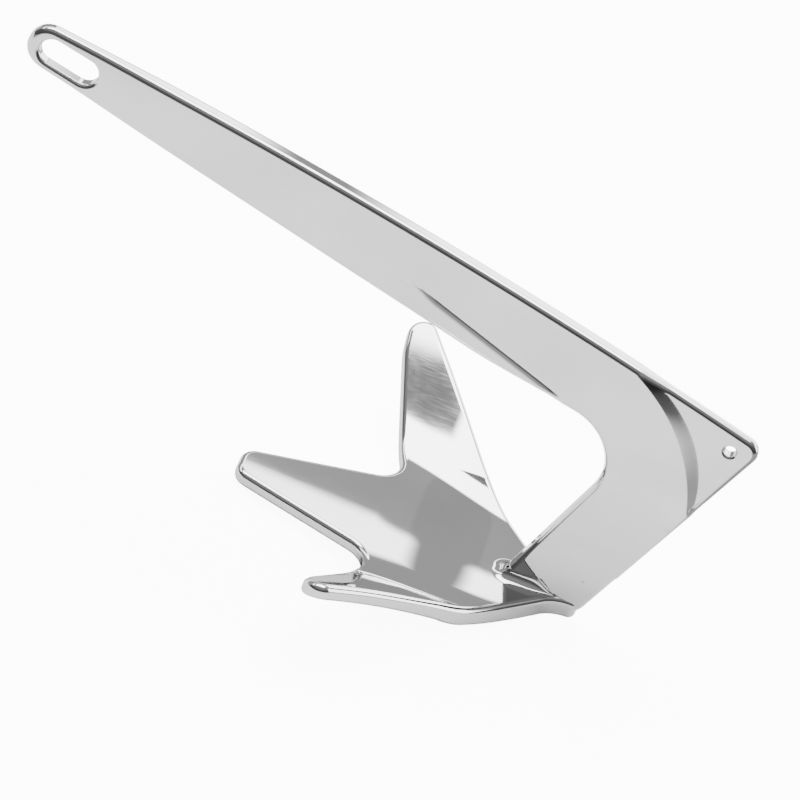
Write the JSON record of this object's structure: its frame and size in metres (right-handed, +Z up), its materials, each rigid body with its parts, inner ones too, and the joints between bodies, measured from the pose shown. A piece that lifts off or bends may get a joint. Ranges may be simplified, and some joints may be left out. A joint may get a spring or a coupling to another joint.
{
  "type": "claw anchor",
  "caption": "Claw anchor cast in one piece: a flat shank with a slotted eye for the shackle, a trip-line hole at the heel and spread flukes that dig in, polished all over.",
  "frame": {"origin": "bottom centre of the bounding box, on the ground that the anchor stands on", "axes": "+X from the eye of the shank towards the heel, +Y square to the flat sides of the shank, +Z up as the anchor stands on its crown and the middle fluke; the plane Y = 0 is its mirror plane"},
  "size_m": [0.4266, 0.2626, 0.2065],
  "materials": {
    "steel": "mirror-polished stainless steel"
  },
  "bodies": {
    "root": {"claw_anchor": "steel"}
  },
  "joints": []
}
